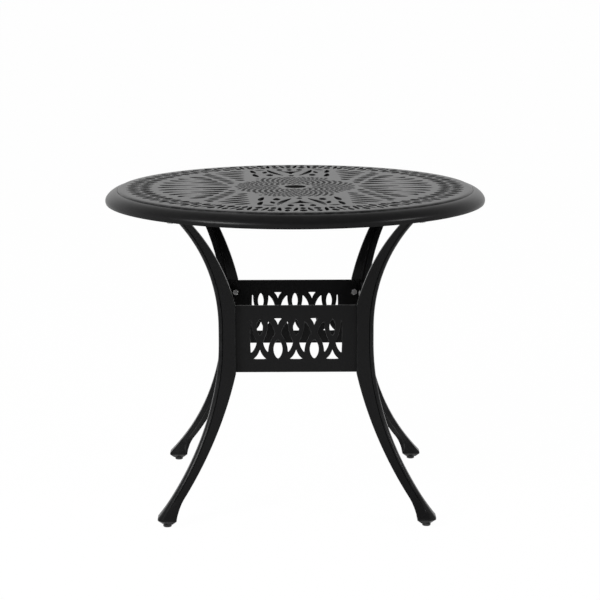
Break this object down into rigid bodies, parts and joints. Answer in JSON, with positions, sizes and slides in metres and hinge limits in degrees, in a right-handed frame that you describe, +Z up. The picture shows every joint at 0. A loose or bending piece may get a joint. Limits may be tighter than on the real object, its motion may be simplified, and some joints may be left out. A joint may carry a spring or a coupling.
{
  "type": "outdoor dining table",
  "caption": "Round cast metal garden dining table with an openwork scroll top, umbrella hole, bowed legs, lattice aprons and screw levelling feet.",
  "frame": {"origin": "on the floor under the middle of the round top", "axes": "+Z up along the umbrella hole, the pictured front looks along -Y, +X to the right of it"},
  "size_m": [0.8999, 0.9, 0.747],
  "materials": {
    "cast_frame": "satin black powder coat on cast aluminium",
    "bolts": "plain zinc plated steel",
    "studs": "plain zinc plated steel",
    "glides": "black moulded plastic"
  },
  "bodies": {
    "table": {"tabletop_grille": "cast_frame", "tabletop_rim": "cast_frame", "leg_back_right": "cast_frame", "leg_back_left": "cast_frame", "leg_front_left": "cast_frame", "leg_front_right": "cast_frame", "apron_back": "cast_frame", "apron_left": "cast_frame", "apron_front": "cast_frame", "apron_right": "cast_frame", "top_bolts": "bolts", "apron_bolts": "bolts"},
    "glide_back_right": {"foot_glide_back_right": "glides"},
    "stud_back_right": {"foot_stud_back_right": "studs"},
    "glide_back_left": {"foot_glide_back_left": "glides"},
    "stud_back_left": {"foot_stud_back_left": "studs"},
    "glide_front_left": {"foot_glide_front_left": "glides"},
    "stud_front_left": {"foot_stud_front_left": "studs"},
    "glide_front_right": {"foot_glide_front_right": "glides"},
    "stud_front_right": {"foot_stud_front_right": "studs"}
  },
  "joints": [
    {"name": "level_back_right", "type": "slide", "parent": "table", "child": "glide_back_right", "axis": [0, 0, -1], "range_m": [0, 0.01188]},
    {"name": "screw_back_right", "type": "hinge", "parent": "glide_back_right", "child": "stud_back_right", "pos_m": [0.29805, 0.29805, 0.008], "axis": [0, 0, -1], "range_deg": [0, 3420]},
    {"name": "level_back_left", "type": "slide", "parent": "table", "child": "glide_back_left", "axis": [0, 0, -1], "range_m": [0, 0.01188]},
    {"name": "screw_back_left", "type": "hinge", "parent": "glide_back_left", "child": "stud_back_left", "pos_m": [-0.29805, 0.29805, 0.008], "axis": [0, 0, -1], "range_deg": [0, 3420]},
    {"name": "level_front_left", "type": "slide", "parent": "table", "child": "glide_front_left", "axis": [0, 0, -1], "range_m": [0, 0.01188]},
    {"name": "screw_front_left", "type": "hinge", "parent": "glide_front_left", "child": "stud_front_left", "pos_m": [-0.29805, -0.29805, 0.008], "axis": [0, 0, -1], "range_deg": [0, 3420]},
    {"name": "level_front_right", "type": "slide", "parent": "table", "child": "glide_front_right", "axis": [0, 0, -1], "range_m": [0, 0.01188]},
    {"name": "screw_front_right", "type": "hinge", "parent": "glide_front_right", "child": "stud_front_right", "pos_m": [0.29805, -0.29805, 0.008], "axis": [0, 0, -1], "range_deg": [0, 3420]}
  ],
  "couplings": [
    {"joint": "screw_back_right", "follows": "level_back_right", "rad_per_m": 5026.5},
    {"joint": "screw_back_left", "follows": "level_back_left", "rad_per_m": 5026.5},
    {"joint": "screw_front_left", "follows": "level_front_left", "rad_per_m": 5026.5},
    {"joint": "screw_front_right", "follows": "level_front_right", "rad_per_m": 5026.5}
  ]
}
